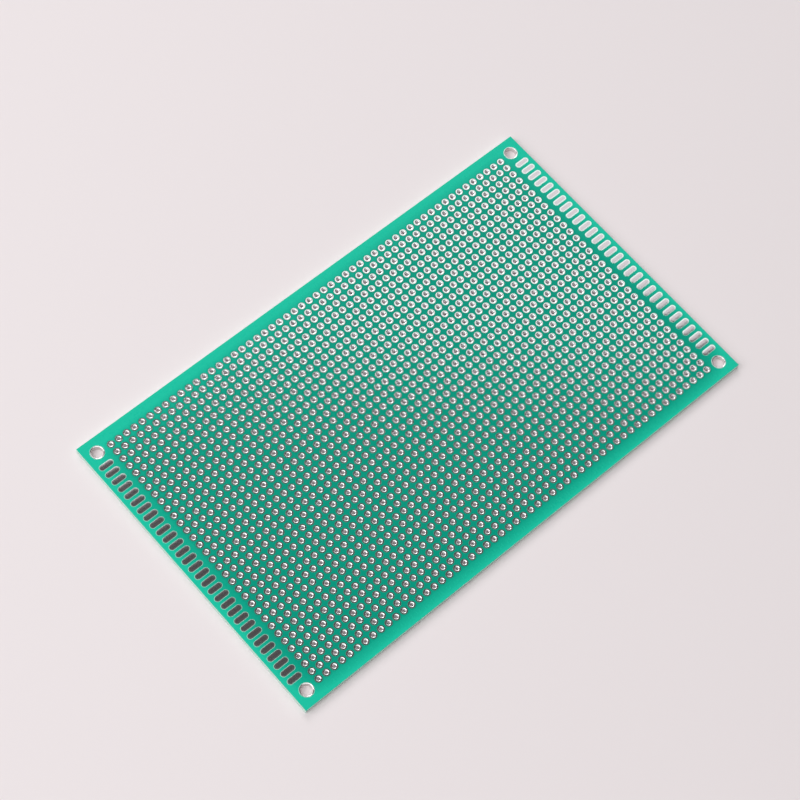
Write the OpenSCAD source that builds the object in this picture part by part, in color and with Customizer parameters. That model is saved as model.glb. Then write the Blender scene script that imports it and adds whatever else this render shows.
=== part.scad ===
// Double-sided prototype circuit board with a grid of plated holes, a row of
// solder fingers at each end and four plated mounting holes.
// Millimetres. The origin is the middle of the underside, X runs along the
// length, Y across it and +Z up through the board.

/* [Board] */
// Length of the board, along X
board_length = 150; // [60:1:180]
// Width of the board, along Y
board_width = 90; // [40:1:120]
// Finished thickness, over both solder masks
board_thickness = 1.6; // [0.8:0.1:3.2]
// Thickness of each solder mask
mask_thickness = 0.04; // [0.02:0.01:0.08]
// Gap between a tinned pad and the edge of its window in the mask
mask_clearance = 0.06; // [0.03:0.01:0.1]

/* [Component holes] */
// Distance between neighbouring holes, in both directions
hole_pitch = 2.54; // [2.3:0.01:5.08]
// Bore of a finished component hole
hole_bore = 1; // [0.7:0.05:1.2]
// Diameter of the tinned pad round a component hole
pad_diameter = 2; // [1.6:0.05:2.1]
// Least bare border between the outer pads and the long edges
side_border = 3.2; // [2:0.1:8]

/* [Tinned copper] */
// Thickness of the metal that lines a hole
plating = 0.05; // [0.03:0.01:0.1]
// Thickness of the copper foil under the solder of a finger
foil_thickness = 0.04; // [0.02:0.01:0.07]
// Height of the solder at its highest, over a ring or a finger
solder_crown = 0.05; // [0.02:0.01:0.08]

/* [Solder fingers] */
// Length of a finger, along X
finger_length = 4.2; // [2:0.1:6]
// Width of a finger, along Y
finger_width = 1.6; // [1:0.05:1.9]
// Distance from a finger's tip to the end of the board
finger_edge_gap = 1.1; // [0.5:0.1:3]
// Least gap between the fingers and the outer column of pads
finger_pad_gap = 1.2; // [0.5:0.1:4]
// Least gap between the outer fingers and the mounting pads
finger_corner_gap = 1.2; // [0.5:0.1:4]

/* [Mounting holes] */
// Bore of a finished mounting hole
mount_bore = 3.2; // [2.2:0.1:3.6]
// Width of the tinned ring round a mounting hole
mount_ring = 0.3; // [0.25:0.05:0.5]
// Width of the flat part of that ring, next to the bore
mount_land = 0.2; // [0.05:0.05:0.2]
// Distance from a mounting hole's centre to the end of the board
mount_from_end = 3.6; // [3:0.1:4]
// Distance from a mounting hole's centre to the long edge
mount_from_side = 4; // [3:0.1:6]

/* [Hidden] */
$fn = 32;

// Heights: the pads on the underside stand on z = 0
pad_height = foil_thickness + solder_crown;
laminate_thickness = board_thickness - 2 * mask_thickness;
laminate_bottom = pad_height;
laminate_top = laminate_bottom + laminate_thickness;

// The grid holds as many columns and rows as the board has room for
end_border = finger_edge_gap + finger_length + finger_pad_gap;
columns = copies(board_length - 2 * end_border - pad_diameter, hole_pitch);
rows = copies(board_width - 2 * side_border - pad_diameter, hole_pitch);

// The fingers share the holes' pitch and stop short of the mounting pads
mount_pad = mount_bore + 2 * mount_ring;
mount_x = board_length / 2 - mount_from_end;
mount_y = board_width / 2 - mount_from_side;
finger_x = board_length / 2 - finger_edge_gap - finger_length / 2;
finger_span = 2 * (mount_y - mount_pad / 2 - finger_corner_gap) - finger_width;
fingers = copies(finger_span, hole_pitch);

TIN = "#d5d9d8";
MASK_GREEN = "#0c9f82";
FR4 = "#ddd6a8";

// The grid of holes is made in nine blocks, three along the board by three across it
BLOCKS_X = ["left", "centre", "right"];
BLOCKS_Y = ["front", "middle", "back"];

LAYERS = ["laminate", "solder_mask_top", "solder_mask_bottom"];
HOLES = [for (y = [0:2], x = [0:2]) block_name(x, y)];
FINGERS = ["fingers_top_left", "fingers_top_right", "fingers_bottom_left", "fingers_bottom_right"];
MOUNTS = ["mount_front_left", "mount_front_right", "mount_back_left", "mount_back_right"];

// How many things at this pitch fit with their centres along this span
function copies(span, pitch) = floor(span / pitch) + 1;

// Places of a number of things at one pitch, centred on zero
function spread(count, pitch) = [for (i = [0:count - 1]) (i - (count - 1) / 2) * pitch];

// The places that lie in the first, second or last third of a row of them
function third(places, part) =
    [for (i = [0:len(places) - 1]) if (floor(3 * i / len(places)) == part) places[i]];

function block_name(x, y) = str("plated_holes_", BLOCKS_Y[y], "_", BLOCKS_X[x]);

// Radius of the arc over a chord that rises by this much at its middle
function arc_radius(chord, rise) = (chord * chord / 4 + rise * rise) / (2 * rise);

// A hole lined with metal, with a ring on each face that slopes down to the pad's
// edge from a flat land beside the bore, or from the bore's rim where it has none
module plated_hole(bore, pad, land = 0) {
    board_top = laminate_top + pad_height;
    rotate_extrude()
        polygon([
            [bore / 2, 0],
            if (land > 0) [bore / 2 + land, 0],
            [pad / 2, laminate_bottom],
            [bore / 2 + plating, laminate_bottom],
            [bore / 2 + plating, laminate_top],
            [pad / 2, laminate_top],
            if (land > 0) [bore / 2 + land, board_top],
            [bore / 2, board_top],
        ]);
}

// Cross-section of a finger: a flat foot of foil with a crown of solder over it
module finger_section() {
    radius = arc_radius(finger_width, solder_crown);
    translate([-finger_width / 2, 0])
        square([finger_width, foil_thickness]);
    intersection() {
        translate([0, pad_height - radius])
            circle(radius, $fn = 256);
        translate([-finger_width / 2, foil_thickness])
            square([finger_width, solder_crown]);
    }
}

// Outline of a finger or of its window, with fully round ends along X
module finger_outline(grow) {
    reach = (finger_length - finger_width) / 2;
    square([2 * reach, finger_width + 2 * grow], center = true);
    for (x = [-reach, reach])
        translate([x, 0])
            circle(d = finger_width + 2 * grow);
}

// A crowned finger lying on z = 0
module finger() {
    reach = (finger_length - finger_width) / 2;
    rotate([90, 0, 90])
        linear_extrude(2 * reach, center = true)
            finger_section();
    for (turn = [0, 180])
        rotate(turn)
            translate([reach, 0])
                rotate(-90)
                    rotate_extrude(angle = 180)
                        intersection() {
                            finger_section();
                            square([finger_width, pad_height]);
                        }
}

// Puts its children at every place in the grid of component holes
module at_holes() {
    for (x = spread(columns, hole_pitch), y = spread(rows, hole_pitch))
        translate([x, y])
            children();
}

// Puts its children at the fingers of one end of the board, or -1 for the left
module at_fingers(end) {
    for (y = spread(fingers, hole_pitch))
        translate([end * finger_x, y])
            children();
}

module at_mounts() {
    for (x = [-mount_x, mount_x], y = [-mount_y, mount_y])
        translate([x, y])
            children();
}

module laminate() {
    color(FR4)
        translate([0, 0, laminate_bottom])
            linear_extrude(laminate_thickness)
                difference() {
                    square([board_length, board_width], center = true);
                    at_holes()
                        circle(d = hole_bore + 2 * plating);
                    at_mounts()
                        circle(d = mount_bore + 2 * plating);
                }
}

module solder_mask(height) {
    color(MASK_GREEN)
        translate([0, 0, height])
            linear_extrude(mask_thickness)
                difference() {
                    square([board_length, board_width], center = true);
                    at_holes()
                        circle(d = pad_diameter + 2 * mask_clearance);
                    at_mounts()
                        circle(d = mount_pad + 2 * mask_clearance);
                    for (end = [-1, 1])
                        at_fingers(end)
                            finger_outline(mask_clearance);
                }
}

// One block of component holes
module plated_holes(block_x, block_y) {
    places_x = third(spread(columns, hole_pitch), block_x);
    places_y = third(spread(rows, hole_pitch), block_y);
    color(TIN)
        for (x = places_x, y = places_y)
            translate([x, y])
                plated_hole(hole_bore, pad_diameter);
}

module fingers_top(end) {
    color(TIN)
        translate([0, 0, laminate_top])
            at_fingers(end)
                finger();
}

module fingers_bottom(end) {
    color(TIN)
        translate([0, 0, laminate_bottom])
            mirror([0, 0, 1])
                at_fingers(end)
                    finger();
}

module mount(end, side) {
    color(TIN)
        translate([end * mount_x, side * mount_y])
            plated_hole(mount_bore, mount_pad, mount_land);
}

laminate();
solder_mask(laminate_top);  // solder_mask_top
solder_mask(laminate_bottom - mask_thickness);  // solder_mask_bottom
for (y = [0:2], x = [0:2])
    plated_holes(x, y);
fingers_top(-1);  // fingers_top_left
fingers_top(1);  // fingers_top_right
fingers_bottom(-1);  // fingers_bottom_left
fingers_bottom(1);  // fingers_bottom_right
mount(-1, -1);  // mount_front_left
mount(1, -1);  // mount_front_right
mount(-1, 1);  // mount_back_left
mount(1, 1);  // mount_back_right
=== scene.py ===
"""A bare double-sided prototype circuit board, with its finishes, on a pale table.

The board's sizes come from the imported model. Lengths are in metres, X runs
along the board, Y across it and +Z up through it.
"""

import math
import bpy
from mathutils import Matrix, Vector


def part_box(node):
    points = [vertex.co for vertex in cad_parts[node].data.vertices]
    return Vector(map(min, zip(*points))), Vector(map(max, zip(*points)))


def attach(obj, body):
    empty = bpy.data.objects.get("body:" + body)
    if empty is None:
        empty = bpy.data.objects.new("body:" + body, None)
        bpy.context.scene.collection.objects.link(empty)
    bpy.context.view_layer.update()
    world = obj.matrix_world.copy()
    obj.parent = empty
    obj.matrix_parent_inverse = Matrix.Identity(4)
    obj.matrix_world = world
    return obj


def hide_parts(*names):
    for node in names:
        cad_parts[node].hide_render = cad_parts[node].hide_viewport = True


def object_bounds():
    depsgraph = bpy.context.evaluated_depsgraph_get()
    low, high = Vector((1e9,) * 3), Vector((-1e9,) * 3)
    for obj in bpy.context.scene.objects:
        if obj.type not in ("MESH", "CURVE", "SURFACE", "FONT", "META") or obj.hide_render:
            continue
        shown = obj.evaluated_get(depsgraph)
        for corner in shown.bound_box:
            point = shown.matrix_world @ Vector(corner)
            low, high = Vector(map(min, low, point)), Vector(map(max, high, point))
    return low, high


bl_info = {
    "name": "Bare Circuit Board",
    "version": (1, 0, 0),
    "blender": (4, 5, 0),
    "location": "3D View > Sidebar > Board",
    "description": "Builds a prototype circuit board with plated holes and solder fingers",
    "category": "Object",
}

import bmesh
import bpy
from bpy.props import FloatProperty, FloatVectorProperty, IntProperty, PointerProperty
from mathutils import Matrix, Vector

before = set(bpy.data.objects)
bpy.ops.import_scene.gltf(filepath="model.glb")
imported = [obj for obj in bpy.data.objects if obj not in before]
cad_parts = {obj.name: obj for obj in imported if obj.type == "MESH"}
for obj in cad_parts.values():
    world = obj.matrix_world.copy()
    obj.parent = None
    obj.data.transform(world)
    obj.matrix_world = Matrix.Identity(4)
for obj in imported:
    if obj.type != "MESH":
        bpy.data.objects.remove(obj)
CAD_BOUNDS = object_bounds()

MM = 0.001
BODY = "root"

LAMINATE = "laminate"
MASKS = ["solder_mask_top", "solder_mask_bottom"]
HOLE_BLOCKS = sorted(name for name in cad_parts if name.startswith("plated_holes"))
FINGER_ROWS = sorted(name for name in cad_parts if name.startswith("fingers"))
CORNER_HOLES = sorted(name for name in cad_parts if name.startswith("mount"))

BOARD_LOW, BOARD_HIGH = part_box(LAMINATE)
BOARD_SIZE = BOARD_HIGH - BOARD_LOW
HALF_LAMINATE = BOARD_SIZE.z / 2 / MM
SOLDER_BOTTOM, SOLDER_TOP = CAD_BOUNDS[0].z, CAD_BOUNDS[1].z

# Each lamp's azimuth and elevation in degrees, distance and size in metres, and level
LAMPS = {
    "softbox_over_the_far_side": (51.5, 44.0, 1.71, (1.6, 1.2), 0.93),
    "hot_core_of_the_softbox": (66.0, 36.0, 1.65, (0.7, 0.7), 3.4),
    "window_on_the_left": (155.0, 38.0, 1.7, (1.6, 1.2), 2.6),
    "ceiling_over_the_camera": (205.0, 74.0, 1.4, (1.45, 1.25), 1.75),
}
WORLD_LEVEL = 0.08
TABLE_REACH = 2.0
SENSOR_WIDTH = 36.0


# ---------------------------------------------------------------- sizes and colours


def length(name, description, millimetres):
    """A length that a user can change, given here in millimetres."""
    return FloatProperty(
        name=name,
        description=description,
        default=millimetres * MM,
        min=0.0,
        unit="LENGTH",
        precision=5,
    )


def angle(name, description, degrees):
    return FloatProperty(
        name=name, description=description, default=math.radians(degrees), unit="ROTATION"
    )


def share(name, description, default):
    return FloatProperty(name=name, description=description, default=default, min=0.0)


def point(name, description, millimetres):
    """A place that a user can change, given here in millimetres."""
    return FloatVectorProperty(
        name=name,
        description=description,
        default=tuple(value * MM for value in millimetres),
        subtype="TRANSLATION",
        unit="LENGTH",
        size=3,
        precision=5,
    )


def tint(name, description, default):
    return FloatVectorProperty(
        name=name, description=description, default=default, subtype="COLOR", size=3
    )


class HoleSettings(bpy.types.PropertyGroup):
    """Sizes of the plated holes, the solder fingers and their solder"""

    pitch: length("Pitch", "Distance between neighbouring holes or fingers", 2.54)
    bore: length("Bore", "Diameter of a finished component hole", 1.0)
    corner_bore: length("Corner bore", "Diameter of a finished mounting hole", 3.2)
    plating: length("Plating", "Thickness of the metal that lines a hole", 0.05)
    outer_shoulder: length("Outer shoulder", "Width over which solder rounds off outwards", 0.03)
    lip_width: length("Lip width", "Width over which solder rounds into a bore", 0.22)
    lip_depth: length("Lip depth", "Depth of that rounding below the laminate's face", 0.03)
    segments: IntProperty(
        name="Segments", description="Facets round a component hole", default=12, min=8
    )
    corner_segments: IntProperty(
        name="Corner segments", description="Facets round a mounting hole", default=48, min=12
    )


class MaskSettings(bpy.types.PropertyGroup):
    """Sizes and colours of the solder mask"""

    window_gap: length("Window gap", "Gap between a pad and the edge of its window", 0.06)
    field: tint("Field", "Green of the mask between the pads", (0.0, 0.32, 0.214))
    margin: tint("Margin", "Green near the edges, where light comes through", (0.012, 0.56, 0.375))
    fade: length("Fade", "Distance from an edge over which that light dies away", 3.2)
    edge_light: share("Edge light", "How much lighter the mask is at an edge", 1.36)
    # Painted shade round the pads' windows, and how far it reaches
    pad_shade: share("Pad shade", "How much darker the mask is at the rim of a window", 0.6)
    shade_reach: length("Shade reach", "Distance over which that shade dies away", 0.22)
    figure_height: length("Figure height", "Height of the figures over the columns", 1.15)
    figure_relief: length("Figure relief", "Height of the figures above the mask", 0.02)


class FinishSettings(bpy.types.PropertyGroup):
    """Colours of the solder and of the laminate"""

    rings: tint("Rings", "Solder round the component holes", (0.91, 0.95, 0.94))
    bores: tint("Bores", "Duller metal inside the component holes", (0.97, 0.92, 0.94))
    fingers: tint("Fingers", "Solder on the fingers", (0.68, 0.63, 0.655))
    # Painted highlight: the paler rim colour stands for the glint on a finger's rounded edge
    finger_rims: tint("Finger rims", "Thinner solder round a finger's edge", (0.9, 0.98, 0.97))
    finger_feet: tint("Finger feet", "Foil at the foot of a finger's edge", (0.6, 0.6, 0.6))
    corner_rings: tint("Corner rings", "Solder round the mounting holes", (0.93, 0.94, 0.94))
    # Partly painted shade: the mounting holes' walls are darkened for the shade inside them, and
    # partly duller metal
    corner_bores: tint("Corner bores", "Duller metal inside the mounting holes", (0.76, 0.71, 0.7))
    glass: tint("Glass", "Glass plies at the cut edge of the laminate", (0.5, 0.75, 0.63))
    resin: tint("Resin", "Resin between those plies", (0.75, 0.95, 0.87))
    # Painted shade: the laminate's face in the gap round a pad is darkened
    window_floor: tint("Window floor", "Laminate in the gap round a pad", (0.07, 0.15, 0.11))


class StageSettings(bpy.types.PropertyGroup):
    """The table, the lamps and the camera"""

    table: tint("Table", "Colour of the table", (0.849, 0.784, 0.795))
    azimuth: angle("Camera azimuth", "Where the camera stands, from the front", -51.167)
    elevation: angle("Camera elevation", "Height of the camera over the table", 63.688)
    roll: angle("Camera roll", "Turn of the camera about its line of sight", 11.0)
    distance: length("Camera distance", "From the camera to what it looks at", 634.65)
    aim: point("Camera aim", "The place that the camera looks at", (-1.45, 3.94, 0.88))
    lens: FloatProperty(name="Lens", description="Focal length", default=110.18, unit="CAMERA")


# ---------------------------------------------------------------- node trees


class Value:
    """A node's output in arithmetic: each operation on it adds one Math node."""

    def __init__(self, socket):
        self.socket = socket

    def math(self, operation, *others):
        tree = self.socket.id_data
        node = tree.nodes.new("ShaderNodeMath")
        node.operation = operation
        for slot, value in zip(node.inputs, (self, *others)):
            plug(tree, slot, value)
        return Value(node.outputs[0])

    def clamp(self, low=0.0, high=1.0):
        return self.math("MINIMUM", high).math("MAXIMUM", low)

    def __add__(self, other):
        return self.math("ADD", other)

    def __sub__(self, other):
        return self.math("SUBTRACT", other)

    def __rsub__(self, other):
        return self.math("MULTIPLY_ADD", -1.0, other)

    def __mul__(self, other):
        return self.math("MULTIPLY", other)

    def __truediv__(self, other):
        return self.math("DIVIDE", other)

    __radd__ = __add__
    __rmul__ = __mul__


def plug(tree, slot, value):
    """Links a socket to one Value or several, or sets it to a plain value."""
    if isinstance(value, Value):
        tree.links.new(value.socket, slot)
    elif isinstance(value, list):
        for item in value:
            tree.links.new(item.socket, slot)
    else:
        slot.default_value = value


class Graph:
    """Adds nodes to a tree, with their settings and then their inputs."""

    def __init__(self, tree):
        self.tree = tree
        self.tree.nodes.clear()

    def add(self, kind, settings=None, inputs=None, out=0):
        node = self.tree.nodes.new(kind)
        for key, setting in (settings or {}).items():
            setattr(node, key, setting)
        for key, value in (inputs or {}).items():
            plug(self.tree, node.inputs[key], value)
        return Value(node.outputs[out]) if len(node.outputs) else node

    def split(self, place):
        """The X, Y and Z of a place."""
        node = self.tree.nodes.new("ShaderNodeSeparateXYZ")
        plug(self.tree, node.inputs[0], place)
        return [Value(output) for output in node.outputs]

    def mix(self, factor, first, second):
        """A colour between two others."""
        first, second = [c if isinstance(c, Value) else (*c, 1.0) for c in (first, second)]
        inputs = {0: factor, 6: first, 7: second}
        return self.add("ShaderNodeMix", {"data_type": "RGBA"}, inputs, out=2)

    def noise(self, place, scale, detail=2.0, roughness=0.5):
        inputs = {"Vector": place, "Scale": scale, "Detail": detail, "Roughness": roughness}
        return self.add("ShaderNodeTexNoise", {}, inputs)

    def bump(self, height, strength, distance):
        inputs = {"Height": height, "Strength": strength, "Distance": distance}
        return self.add("ShaderNodeBump", {}, inputs)

    def surface(self, inputs):
        """Ends a material in one Principled surface."""
        shader = self.add("ShaderNodeBsdfPrincipled", {}, inputs)
        self.add("ShaderNodeOutputMaterial", {}, {"Surface": shader})


# ---------------------------------------------------------------- materials


def new_material(name):
    """A material, its graph, and the place on the board in millimetres."""
    material = bpy.data.materials.new(name)
    material.use_nodes = True
    graph = Graph(material.node_tree)
    place = graph.add("ShaderNodeTexCoord", out="Object")
    inputs = {0: place, "Scale": 1 / MM}
    return material, graph, graph.add("ShaderNodeVectorMath", {"operation": "SCALE"}, inputs)


def from_middle(graph, place):
    """Distance above or below the middle of the laminate, in millimetres."""
    middle = (BOARD_LOW.z + BOARD_HIGH.z) / 2 / MM
    return (graph.split(place)[2] - middle).math("ABSOLUTE")


def green_mask(name, lift=0.0):
    """Glossy green mask: lighter towards the edges, with painted light to one side, painted shade
    round the pads' windows, and the cloth faintly showing.

    lift makes the whole mask lighter, by a share of the step from field to margin."""
    mask = bpy.context.scene.board_mask
    material, graph, place = new_material(name)
    x, y, _ = graph.split(place)
    fade = mask.fade / MM
    from_end = BOARD_SIZE.x / MM / 2 - x.math("ABSOLUTE")
    from_side = BOARD_SIZE.y / MM / 2 - y.math("ABSOLUTE")
    edges = (from_end / -fade).math("EXPONENT") + (from_side / -fade).math("EXPONENT")
    cloud = graph.noise(place, 0.035)
    speckle = graph.noise(place, 1.6, 3.0)
    # Painted light: the mask is lighter towards +Y and -X, the sides that face the lamps
    painted_light_slant = y * 0.0048 - x * 0.001
    lightest = 1.4
    stains = cloud * 0.16 + speckle * 0.05 - 0.105
    light = (edges * mask.edge_light + painted_light_slant + stains + lift).clamp(high=lightest)
    # Painted shade: darker round the rim of each pad's window
    light = light - near_pads(x, y) * mask.pad_shade
    height = graph.noise(place, 0.5, 1.0) + glass_cloth(graph, place) * 0.25
    graph.surface({
        "Base Color": graph.mix(light, mask.field, mask.margin),
        "Roughness": speckle * 0.08 + 0.24,
        "Specular IOR Level": 0.1,
        "Normal": graph.bump(height, 0.5, 0.004 * MM),
    })
    return material


def near_pads(x, y):
    """Painted shade round the pads: 1 at the rim of a pad's window in the mask, and fading away
    from it.
    """
    pitch = bpy.context.scene.board_holes.pitch / MM
    reach = bpy.context.scene.board_mask.shade_reach / MM
    low, high = box_of(HOLE_BLOCKS)
    squares, inside = [], []
    for along, extent in ((x, high.x - low.x), (y, high.y - low.y)):
        count, pad = count_at_pitch(extent)
        step = along / pitch + (0.0 if count % 2 else 0.5)
        off_centre = (step - step.math("ROUND")) * pitch
        squares.append(off_centre * off_centre)
        grid_end = (extent - pad) / 2 / MM + pitch / 2
        inside.append(along.math("ABSOLUTE").math("LESS_THAN", grid_end))
    from_rim = (squares[0] + squares[1]).math("SQRT") - pad / 2 / MM
    shade = (from_rim.math("MAXIMUM", 0.0) / -reach).math("EXPONENT")
    return shade * inside[0] * inside[1]


def glass_cloth(graph, place):
    """The plain weave of glass cloth, whose bundles pass over and under in turn."""
    bundle = 0.55
    x, y, _ = graph.split(place)
    across = (x * (math.pi / bundle)).math("SINE")
    along = (y * (math.pi / bundle)).math("SINE")
    return across * along * 0.5 + 0.5


def bright_solder(name, colour, rim, bore, roughness, ripple):
    """Levelled solder over copper: cloudy on top, paler at its rim as a painted highlight, dull in
    a bore.

    ripple is the height of its unevenness, in millimetres."""
    material, graph, place = new_material(name)
    height = from_middle(graph, place)
    fade_start, fade_width = HALF_LAMINATE - 0.02, 0.07
    inside = (1 - (height - fade_start) / fade_width).clamp()
    pool = graph.noise(place, 1.1)
    grain = graph.noise(place, 7.0, 3.0)
    cloudy = graph.mix(pool, tuple(colour * 0.96), tuple(colour * 1.04))
    thickness = (SOLDER_TOP - BOARD_HIGH.z) / MM
    full, band = HALF_LAMINATE + thickness * 0.96, thickness * 0.06
    # Painted highlight: towards the rim, where the solder falls from its full height, the colour
    # goes to the rim colour
    rim_highlight_share = ((full - height) / band).clamp()
    graph.surface({
        "Base Color": graph.mix(inside, graph.mix(rim_highlight_share, cloudy, rim), bore),
        "Metallic": 1 - inside * 0.75,
        "Roughness": grain * 0.06 + inside * 0.35 + roughness,
        "Normal": graph.bump(pool + grain * 0.1, 1.0, ripple * MM),
    })
    return material


def glass_laminate():
    """Glass-fibre laminate: pale plies at the cut edges, and darkened with painted shade in the
    mask's windows.
    """
    finish = bpy.context.scene.board_finish
    ply = 0.2
    skin = 0.002
    material, graph, place = new_material("glass_fibre_laminate")
    inputs = {0: place, 1: (1.0, 1.0, 9.0)}
    strands = graph.add("ShaderNodeVectorMath", {"operation": "MULTIPLY"}, inputs)
    fibre = graph.noise(strands, 2.2, 4.0, 0.6)
    x, y, z = graph.split(place)
    plies = ((z + fibre * 0.05) * (2 * math.pi / ply)).math("SINE") * 0.5 + 0.5
    tone = plies * 0.45 + fibre * 0.55
    edge = graph.mix(tone, tuple(finish.glass), tuple(finish.resin))
    face = from_middle(graph, place).math("GREATER_THAN", HALF_LAMINATE - skin)
    # Painted shade: the laminate's face in each pad's window, darkest at the pad
    painted_shade_in_window = face * near_pads(x, y)
    graph.surface({
        "Base Color": graph.mix(painted_shade_in_window, edge, tuple(finish.window_floor)),
        "Roughness": fibre * 0.2 + 0.5,
        "Specular IOR Level": 0.35,
        "Normal": graph.bump(tone, 0.5, 0.02 * MM),
    })
    return material


def table_top():
    """A pale matt table, with painted light that makes it a little lighter to the left of the
    board.
    """
    table = Vector(bpy.context.scene.board_stage.table)
    slope, painted_light_contrast = 0.0011, 0.01
    material, graph, place = new_material("pale_table")
    x, y, _ = graph.split(place)
    # Painted light: lighter towards -X and +Y, the side of the window
    lighter, darker = tuple(table * (1 + painted_light_contrast)), tuple(table * (1 - painted_light_contrast))
    graph.surface({
        "Base Color": graph.mix(((x - y) * slope + 0.5).clamp(), lighter, darker),
        "Roughness": 0.85,
        "Specular IOR Level": 0.1,
    })
    return material


# ---------------------------------------------------------------- meshes


def shoulder(width, height, steps):
    """A quarter of an ellipse, as (distance in from the edge, rise) points."""
    turns = [math.pi / 2 * step / steps for step in range(steps + 1)]
    return [(width * (1 - math.cos(turn)), height * math.sin(turn)) for turn in turns]


def join_loops(body, loops):
    """Fills the bands between neighbouring loops of points with smooth faces."""
    for lower, upper in zip(loops, loops[1:]):
        for i in range(len(lower)):
            face = body.faces.new((lower[i - 1], lower[i], upper[i], upper[i - 1]))
            face.smooth = True


def sharpen(body, loop):
    """Keeps the edge along a loop of points sharp."""
    for i in range(len(loop)):
        body.edges.get((loop[i - 1], loop[i])).smooth = False


def finish_mesh(body, name):
    """Turns every face outwards and keeps the result as a mesh."""
    bmesh.ops.recalc_face_normals(body, faces=body.faces)
    mesh = bpy.data.meshes.new(name)
    body.to_mesh(mesh)
    body.free()
    return mesh


def ring_side(bore, pad, level, face, steps):
    """One ring of solder in section: a bevelled edge, a flat, and a lip into the bore.

    level is the laminate's face, face is the top of the solder, and steps is how many
    bands round the lip off. A lip of several bands has one more loop that keeps the
    flat beside it flat."""
    holes = bpy.context.scene.board_holes
    least_flat, beside_lip = 0.1 * MM, 0.02 * MM
    rise = face - level
    depth = math.copysign(holes.lip_depth, rise)
    lip_width = min(holes.lip_width, (pad - bore) / 2 - least_flat)
    lip = shoulder(lip_width, rise + depth, steps)
    section = [(pad / 2, level), (pad / 2 - holes.outer_shoulder, face)]
    if steps > 2:
        section.append((bore / 2 + lip_width + beside_lip, face))
    return section + [(bore / 2 + inset, level - depth + up) for inset, up in reversed(lip)]


def hole_lining(name, bore, pad, segments, top_steps, bottom_steps):
    """A metal-lined hole with a ring of solder on each face, rounded off in steps."""
    plating = bpy.context.scene.board_holes.plating
    top = ring_side(bore, pad, BOARD_HIGH.z, SOLDER_TOP, top_steps)
    bottom = ring_side(bore, pad, BOARD_LOW.z, SOLDER_BOTTOM, bottom_steps)
    drilled = bore / 2 + plating
    section = [(drilled, BOARD_HIGH.z), *top, *reversed(bottom), (drilled, BOARD_LOW.z)]
    last = len(section) - 1
    # Of each ring, the drilled wall's end, the foot and the top of the bevel stay sharp
    sharp = [0, 1, 2, last - 2, last - 1, last]
    body = bmesh.new()
    turns = [2 * math.pi * step / segments for step in range(segments)]
    loops = [
        [body.verts.new((r * math.cos(turn), r * math.sin(turn), z)) for turn in turns]
        for r, z in section
    ]
    join_loops(body, loops + loops[:1])
    for number in sharp:
        sharpen(body, loops[number])
    return finish_mesh(body, name)


def stadium(size, inset, steps=8):
    """Points round a bar with fully round ends along X, moved in by inset."""
    radius = size.y / 2 - inset
    reach = (size.x - size.y) / 2
    points = []
    for end in (1, -1):
        for step in range(steps + 1):
            turn = math.pi * (step / steps - 0.5)
            x, y = radius * math.cos(turn), radius * math.sin(turn)
            points.append((end * (reach + x), end * y))
    return points


def solder_finger(name, size):
    """A finger on z = 0, with bevelled edges and a broad, slightly domed top."""
    bevel = bpy.context.scene.board_holes.outer_shoulder
    dome = 0.15
    steps = 5
    levels = [(0.0, 0.0)]
    for step in range(steps):
        inset = bevel + (size.y / 2 - bevel) * step / steps
        bow = 1 - (1 - step / steps) ** 2
        levels.append((inset, size.z * (1 - dome + dome * bow)))
    body = bmesh.new()
    loops = [
        [body.verts.new((x, y, up)) for x, y in stadium(size, inset)]
        for inset, up in levels
    ]
    join_loops(body, loops)
    sharpen(body, loops[0])
    sharpen(body, loops[1])
    body.faces.new(loops[0])
    body.faces.new(loops[-1]).smooth = True
    return finish_mesh(body, name)


def column_figures(count, pitch, rows_y, height, relief, level):
    """The numbers of the columns, in low relief along both long margins."""
    # Height of a digit as a share of the size of its text
    digit_height = 0.7
    body = bmesh.new()
    for number in range(1, count + 1):
        text = bpy.data.curves.new("figure", "FONT")
        text.body = str(number)
        text.size = height / digit_height
        text.align_x = "CENTER"
        text.align_y = "CENTER"
        text.resolution_u = 2
        text.extrude = relief / 2
        holder = bpy.data.objects.new("figure", text)
        bpy.context.scene.collection.objects.link(holder)
        evaluated = holder.evaluated_get(bpy.context.evaluated_depsgraph_get())
        mesh = bpy.data.meshes.new_from_object(evaluated)
        bpy.data.objects.remove(holder)
        x = (number - (count + 1) / 2) * pitch
        for y in rows_y:
            placed = mesh.copy()
            placed.transform(Matrix.Translation((x, y, level + relief / 2)))
            body.from_mesh(placed)
    bmesh.ops.remove_doubles(body, verts=body.verts, dist=1e-8)
    return finish_mesh(body, "column_figures")


# ---------------------------------------------------------------- geometry nodes


FLOAT, INTEGER, VECTOR = "NodeSocketFloat", "NodeSocketInt", "NodeSocketVector"
OBJECT, MATERIAL = "NodeSocketObject", "NodeSocketMaterial"


def new_tree(name, inputs):
    """A Geometry Nodes tree with these named inputs, its graph and their Values."""
    tree = bpy.data.node_groups.new(name, "GeometryNodeTree")
    tree.interface.new_socket("Geometry", in_out="OUTPUT", socket_type="NodeSocketGeometry")
    for label, kind in inputs.items():
        tree.interface.new_socket(label, in_out="INPUT", socket_type=kind)
    graph = Graph(tree)
    source = tree.nodes.new("NodeGroupInput")
    return tree, graph, {label: Value(source.outputs[label]) for label in inputs}


def end_tree(graph, geometry, material):
    """Ends a tree in real geometry with one material."""
    real = graph.add("GeometryNodeRealizeInstances", {}, {"Geometry": geometry})
    inputs = {"Geometry": real, "Material": material}
    graph.add("NodeGroupOutput", {}, {0: graph.add("GeometryNodeSetMaterial", {}, inputs)})


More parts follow.
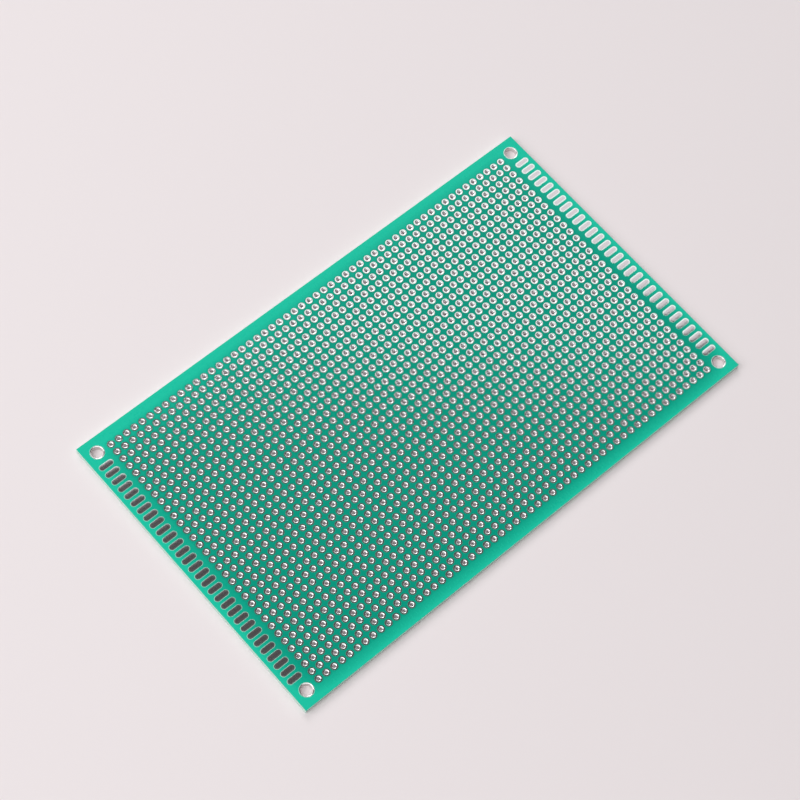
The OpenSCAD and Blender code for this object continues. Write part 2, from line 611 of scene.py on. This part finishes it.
def grid_of_points(graph, columns, rows, step_x, step_y):
    """Points in a rectangle centred on the origin."""
    return graph.add("GeometryNodeMeshGrid", {}, {
        "Size X": (columns - 1) * step_x,
        "Size Y": (rows - 1) * step_y,
        "Vertices X": columns,
        "Vertices Y": rows,
    })


def copies_at(graph, points, item):
    return graph.add("GeometryNodeInstanceOnPoints", {}, {"Points": points, "Instance": item})


def circle(graph, diameter, segments):
    inputs = {"Resolution": segments, "Radius": diameter / 2}
    return graph.add("GeometryNodeCurvePrimitiveCircle", {"mode": "RADIUS"}, inputs)


def rectangle(graph, width, height):
    inputs = {"Width": width, "Height": height}
    return graph.add("GeometryNodeCurvePrimitiveQuadrilateral", {"mode": "RECTANGLE"}, inputs)


def perforated_sheet_tree():
    """A flat sheet with a grid of round holes, four corner holes and end slots."""
    tree, graph, given = new_tree("perforated_sheet", {
        "Length": FLOAT,
        "Width": FLOAT,
        "Thickness": FLOAT,
        "Underside": VECTOR,
        "Columns": INTEGER,
        "Rows": INTEGER,
        "Pitch": FLOAT,
        "Hole Diameter": FLOAT,
        "Hole Segments": INTEGER,
        "Corner Spacing X": FLOAT,
        "Corner Spacing Y": FLOAT,
        "Corner Diameter": FLOAT,
        "Corner Segments": INTEGER,
        "Slots": INTEGER,
        "Slot Spacing X": FLOAT,
        "Slot Length": FLOAT,
        "Slot Width": FLOAT,
        "Material": MATERIAL,
    })
    pitch = given["Pitch"]
    holes = copies_at(
        graph,
        grid_of_points(graph, given["Columns"], given["Rows"], pitch, pitch),
        circle(graph, given["Hole Diameter"], given["Hole Segments"]),
    )
    corners = copies_at(
        graph,
        grid_of_points(graph, 2, 2, given["Corner Spacing X"], given["Corner Spacing Y"]),
        circle(graph, given["Corner Diameter"], given["Corner Segments"]),
    )
    slot = graph.add("GeometryNodeFilletCurve", {"mode": "POLY"}, {
        "Curve": rectangle(graph, given["Slot Length"], given["Slot Width"]),
        "Radius": given["Slot Width"] / 2,
        "Limit Radius": True,
        "Count": 5,
    })
    slots = copies_at(
        graph,
        grid_of_points(graph, 2, given["Slots"], given["Slot Spacing X"], pitch),
        slot,
    )
    outline = rectangle(graph, given["Length"], given["Width"])
    edges = graph.add("GeometryNodeJoinGeometry", {}, {0: [holes, corners, slots, outline]})
    edges = graph.add("GeometryNodeRealizeInstances", {}, {"Geometry": edges})
    under = graph.add("GeometryNodeFillCurve", {"mode": "TRIANGLES"}, {"Curve": edges})
    upper = graph.add("GeometryNodeExtrudeMesh", {"mode": "FACES"}, {
        "Mesh": under,
        "Offset Scale": given["Thickness"],
        "Individual": False,
    })
    under = graph.add("GeometryNodeFlipFaces", {}, {"Mesh": under})
    sheet = graph.add("GeometryNodeJoinGeometry", {}, {0: [upper, under]})
    inputs = {"Geometry": sheet, "Distance": 0.0001 * MM}
    sheet = graph.add("GeometryNodeMergeByDistance", {}, inputs)
    inputs = {"Geometry": sheet, "Offset": given["Underside"]}
    end_tree(graph, graph.add("GeometryNodeSetPosition", {}, inputs), given["Material"])
    return tree


def row_tree():
    """Copies of one item at an even pitch, in columns and rows round a centre."""
    tree, graph, given = new_tree("items_at_pitch", {
        "Item": OBJECT,
        "Centre": VECTOR,
        "Columns": INTEGER,
        "Rows": INTEGER,
        "Pitch": FLOAT,
        "Material": MATERIAL,
    })
    pitch = given["Pitch"]
    points = grid_of_points(graph, given["Columns"], given["Rows"], pitch, pitch)
    inputs = {"Geometry": points, "Offset": given["Centre"]}
    points = graph.add("GeometryNodeSetPosition", {}, inputs)
    item = graph.add("GeometryNodeObjectInfo", {}, {"Object": given["Item"]}, out="Geometry")
    end_tree(graph, copies_at(graph, points, item), given["Material"])
    return tree


def tree_named(name, maker):
    """A tree made once and shared by every piece that grows from it."""
    return bpy.data.node_groups.get(name) or maker()


def grow(name, tree, values):
    """Runs a tree with these inputs and keeps what it makes as a plain mesh."""
    piece = bpy.data.objects.new(name, bpy.data.meshes.new(name))
    modifier = piece.modifiers.new(name, "NODES")
    modifier.node_group = tree
    for item in tree.interface.items_tree:
        if item.in_out == "INPUT":
            modifier[item.identifier] = values[item.name]
    bpy.context.scene.collection.objects.link(piece)
    evaluated = piece.evaluated_get(bpy.context.evaluated_depsgraph_get())
    mesh = bpy.data.meshes.new_from_object(evaluated)
    piece.modifiers.clear()
    piece.data = mesh
    mesh.name = name
    if not mesh.polygons:
        raise RuntimeError(f"{name} came out empty")
    return piece


def grow_items(name, mesh, centre, columns, rows, material):
    """Copies of one mesh at the board's pitch, as one piece."""
    item = bpy.data.objects.new("item", mesh)
    bpy.context.scene.collection.objects.link(item)
    piece = grow(name, tree_named("items_at_pitch", row_tree), {
        "Item": item,
        "Centre": centre,
        "Columns": columns,
        "Rows": rows,
        "Pitch": bpy.context.scene.board_holes.pitch,
        "Material": material,
    })
    bpy.data.objects.remove(item)
    return piece


# ---------------------------------------------------------------- pieces


def keep(piece, slot, *nodes):
    """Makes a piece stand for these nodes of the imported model."""
    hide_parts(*nodes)
    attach(piece, BODY)


def box_of(names):
    """Lowest and highest corner of several nodes together."""
    corners = [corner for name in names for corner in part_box(name)]
    low = Vector([min(corner[i] for corner in corners) for i in range(3)])
    high = Vector([max(corner[i] for corner in corners) for i in range(3)])
    return low, high


def count_at_pitch(extent):
    """How many things at the board's pitch an extent holds, and the size of each."""
    pitch = bpy.context.scene.board_holes.pitch
    gaps = int(extent / pitch)
    return gaps + 1, extent - gaps * pitch


def grow_sheet(name, gap, material):
    """A sheet of the board with its holes, and with slots for the fingers of a mask."""
    holes = bpy.context.scene.board_holes
    low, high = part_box(name)
    grid_low, grid_high = box_of(HOLE_BLOCKS)
    corner_low, corner_high = box_of(CORNER_HOLES)
    finger_low, finger_high = box_of(FINGER_ROWS)
    row_low, row_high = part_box(FINGER_ROWS[0])
    pad_low, pad_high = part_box(CORNER_HOLES[0])
    columns, pad = count_at_pitch(grid_high.x - grid_low.x)
    rows, _ = count_at_pitch(grid_high.y - grid_low.y)
    fingers, finger_width = count_at_pitch(row_high.y - row_low.y)
    corner_pad = pad_high.x - pad_low.x
    finger_length = row_high.x - row_low.x
    drilled = gap is None
    lining = 2 * holes.plating
    return grow(name + "_sheet", tree_named("perforated_sheet", perforated_sheet_tree), {
        "Length": high.x - low.x,
        "Width": high.y - low.y,
        "Thickness": high.z - low.z,
        "Underside": (0.0, 0.0, low.z),
        "Columns": columns,
        "Rows": rows,
        "Pitch": holes.pitch,
        "Hole Diameter": holes.bore + lining if drilled else pad + 2 * gap,
        "Hole Segments": holes.segments,
        "Corner Spacing X": corner_high.x - corner_low.x - corner_pad,
        "Corner Spacing Y": corner_high.y - corner_low.y - corner_pad,
        "Corner Diameter": holes.corner_bore + lining if drilled else corner_pad + 2 * gap,
        "Corner Segments": holes.corner_segments,
        "Slots": 0 if drilled else fingers,
        "Slot Spacing X": finger_high.x - finger_low.x - finger_length,
        "Slot Length": finger_length if drilled else finger_length + 2 * gap,
        "Slot Width": finger_width if drilled else finger_width + 2 * gap,
        "Material": material,
    })


class BOARD_OT_laminate(bpy.types.Operator):
    """Makes the drilled core of glass-fibre laminate"""

    bl_idname = "board.laminate"
    bl_label = "Laminate"

    def execute(self, context):
        keep(grow_sheet(LAMINATE, None, glass_laminate()), "laminate", LAMINATE)
        return {"FINISHED"}


class BOARD_OT_solder_masks(bpy.types.Operator):
    """Makes the green mask on each face, with its windows"""

    bl_idname = "board.solder_masks"
    bl_label = "Solder masks"

    def execute(self, context):
        material = green_mask("green_solder_mask")
        gap = context.scene.board_mask.window_gap
        for name in MASKS:
            keep(grow_sheet(name, gap, material), "solder_mask", name)
        return {"FINISHED"}


class BOARD_OT_plated_holes(bpy.types.Operator):
    """Makes the component holes with their rings of solder"""

    bl_idname = "board.plated_holes"
    bl_label = "Plated holes"

    def execute(self, context):
        holes = context.scene.board_holes
        finish = context.scene.board_finish
        colour, bore = Vector(finish.rings), tuple(finish.bores)
        material = bright_solder(
            "solder_on_rings", colour, tuple(colour), bore, roughness=0.08, ripple=0.015
        )
        for name in HOLE_BLOCKS:
            low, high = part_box(name)
            columns, pad = count_at_pitch(high.x - low.x)
            rows, _ = count_at_pitch(high.y - low.y)
            mesh = hole_lining(name, holes.bore, pad, holes.segments, top_steps=4, bottom_steps=1)
            centre = Vector((*((low + high) / 2).xy, 0.0))
            piece = grow_items(name + "_lined", mesh, centre, columns, rows, material)
            keep(piece, "tinned_copper", name)
        return {"FINISHED"}


class BOARD_OT_solder_fingers(bpy.types.Operator):
    """Makes the rows of solder fingers on both faces"""

    bl_idname = "board.solder_fingers"
    bl_label = "Solder fingers"

    def execute(self, context):
        finish = context.scene.board_finish
        colour = Vector(finish.fingers)
        # The rim colour is a painted highlight
        rim, foot = tuple(finish.finger_rims), tuple(finish.finger_feet)
        material = bright_solder(
            "solder_on_fingers", colour, rim, foot, roughness=0.1, ripple=0.006
        )
        for name in FINGER_ROWS:
            low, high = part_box(name)
            rows, width = count_at_pitch(high.y - low.y)
            size = Vector((high.x - low.x, width, high.z - low.z))
            mesh = solder_finger(name, size)
            centre = Vector((*((low + high) / 2).xy, low.z))
            if high.z < BOARD_HIGH.z:
                mesh.transform(Matrix.Rotation(math.pi, 4, "X"))
                centre.z = high.z
            piece = grow_items(name + "_soldered", mesh, centre, 1, rows, material)
            keep(piece, "tinned_copper", name)
        return {"FINISHED"}


class BOARD_OT_corner_holes(bpy.types.Operator):
    """Makes the lined mounting hole in each corner"""

    bl_idname = "board.corner_holes"
    bl_label = "Corner holes"

    def execute(self, context):
        holes = context.scene.board_holes
        finish = context.scene.board_finish
        # The corner bores' colour is partly painted shade
        colour, bore = Vector(finish.corner_rings), tuple(finish.corner_bores)
        material = bright_solder(
            "solder_on_corner_rings", colour, tuple(colour), bore, roughness=0.1, ripple=0.02
        )
        for name in CORNER_HOLES:
            low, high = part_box(name)
            pad = high.x - low.x
            sizes = (holes.corner_bore, pad, holes.corner_segments)
            mesh = hole_lining(name, *sizes, top_steps=5, bottom_steps=5)
            middle = (low + high) / 2
            mesh.transform(Matrix.Translation((middle.x, middle.y, 0.0)))
            mesh.materials.append(material)
            piece = bpy.data.objects.new(name + "_lined", mesh)
            context.scene.collection.objects.link(piece)
            keep(piece, "tinned_copper", name)
        return {"FINISHED"}


class BOARD_OT_column_figures(bpy.types.Operator):
    """Makes the figures that number the columns along both long edges"""

    bl_idname = "board.column_figures"
    bl_label = "Column figures"

    def execute(self, context):
        mask = context.scene.board_mask
        low, high = box_of(HOLE_BLOCKS)
        columns, _ = count_at_pitch(high.x - low.x)
        margin = (high.y + BOARD_HIGH.y) / 2
        mesh = column_figures(
            columns,
            context.scene.board_holes.pitch,
            (-margin, margin),
            mask.figure_height,
            mask.figure_relief,
            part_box(MASKS[0])[1].z,
        )
        mesh.materials.append(green_mask("green_figures", lift=0.2))
        piece = bpy.data.objects.new("column_figures", mesh)
        context.scene.collection.objects.link(piece)
        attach(piece, BODY)
        return {"FINISHED"}


# ---------------------------------------------------------------- stage


def softbox(name, azimuth, elevation, distance, size, level):
    """A lamp that faces the board from a direction, at a level of brightness."""
    light = bpy.data.lights.new(name, "AREA")
    light.shape = "RECTANGLE"
    light.size, light.size_y = size
    light.energy = level * math.pi * size[0] * size[1]
    lamp = bpy.data.objects.new(name, light)
    flat = math.cos(math.radians(elevation))
    lamp.location = distance * Vector((
        flat * math.cos(math.radians(azimuth)),
        flat * math.sin(math.radians(azimuth)),
        math.sin(math.radians(elevation)),
    ))
    lamp.rotation_euler = lamp.location.to_track_quat("Z", "Y").to_euler()
    bpy.context.scene.collection.objects.link(lamp)


def place_camera():
    stage = bpy.context.scene.board_stage
    lens = bpy.data.cameras.new("camera")
    lens.lens = stage.lens
    lens.sensor_width = SENSOR_WIDTH
    camera = bpy.data.objects.new("camera", lens)
    a, e = stage.azimuth, stage.elevation
    back = Vector((math.sin(a) * math.cos(e), -math.cos(a) * math.cos(e), math.sin(e)))
    right = Vector((0, 0, 1)).cross(back).normalized()
    up = back.cross(right)
    rolled_right = right * math.cos(stage.roll) + up * math.sin(stage.roll)
    rolled_up = up * math.cos(stage.roll) - right * math.sin(stage.roll)
    turn = Matrix((rolled_right, rolled_up, back)).transposed().to_4x4()
    camera.matrix_world = Matrix.Translation(stage.aim + back * stage.distance) @ turn
    bpy.context.scene.collection.objects.link(camera)
    bpy.context.scene.camera = camera


class BOARD_OT_stage(bpy.types.Operator):
    """Sets the table, the lamps and the camera"""

    bl_idname = "board.stage"
    bl_label = "Stage"

    def execute(self, context):
        mesh = bpy.data.meshes.new("table")
        signs = ((-1, -1), (1, -1), (1, 1), (-1, 1))
        corners = [(x * TABLE_REACH, y * TABLE_REACH, 0) for x, y in signs]
        mesh.from_pydata(corners, [], [(0, 1, 2, 3)])
        mesh.materials.append(table_top())
        table = bpy.data.objects.new("table", mesh)
        context.scene.collection.objects.link(table)

        world = bpy.data.worlds.new("studio")
        world.use_nodes = True
        graph = Graph(world.node_tree)
        grey = {"Color": (1.0, 1.0, 1.0, 1.0), "Strength": WORLD_LEVEL}
        graph.add(
            "ShaderNodeOutputWorld", {}, {"Surface": graph.add("ShaderNodeBackground", {}, grey)}
        )
        context.scene.world = world

        for name, setup in LAMPS.items():
            softbox(name, *setup)
        context.scene.view_settings.view_transform = "Standard"
        place_camera()
        return {"FINISHED"}


class BOARD_PT_panel(bpy.types.Panel):
    """Lists the board's pieces and their sizes in the sidebar"""

    bl_idname = "BOARD_PT_panel"
    bl_label = "Bare Circuit Board"
    bl_space_type = "VIEW_3D"
    bl_region_type = "UI"
    bl_category = "Board"

    def draw(self, context):
        for operator in OPERATORS:
            self.layout.operator(operator.bl_idname)
        for name in SETTINGS:
            settings = getattr(context.scene, name)
            box = self.layout.box()
            for key in settings.bl_rna.properties.keys():
                if key not in ("rna_type", "name"):
                    box.prop(settings, key)


SETTINGS = {
    "board_holes": HoleSettings,
    "board_mask": MaskSettings,
    "board_finish": FinishSettings,
    "board_stage": StageSettings,
}
OPERATORS = [
    BOARD_OT_laminate,
    BOARD_OT_solder_masks,
    BOARD_OT_plated_holes,
    BOARD_OT_solder_fingers,
    BOARD_OT_corner_holes,
    BOARD_OT_column_figures,
    BOARD_OT_stage,
]


def register():
    for kind in (*SETTINGS.values(), *OPERATORS, BOARD_PT_panel):
        bpy.utils.register_class(kind)
    for name, kind in SETTINGS.items():
        setattr(bpy.types.Scene, name, PointerProperty(type=kind))


def unregister():
    for name in SETTINGS:
        delattr(bpy.types.Scene, name)
    for kind in (BOARD_PT_panel, *reversed(OPERATORS), *SETTINGS.values()):
        bpy.utils.unregister_class(kind)


def main():
    register()
    bpy.ops.board.stage()
    bpy.ops.board.laminate()
    bpy.ops.board.solder_masks()
    bpy.ops.board.plated_holes()
    bpy.ops.board.solder_fingers()
    bpy.ops.board.corner_holes()
    bpy.ops.board.column_figures()


if __name__ == "__main__":
    main()
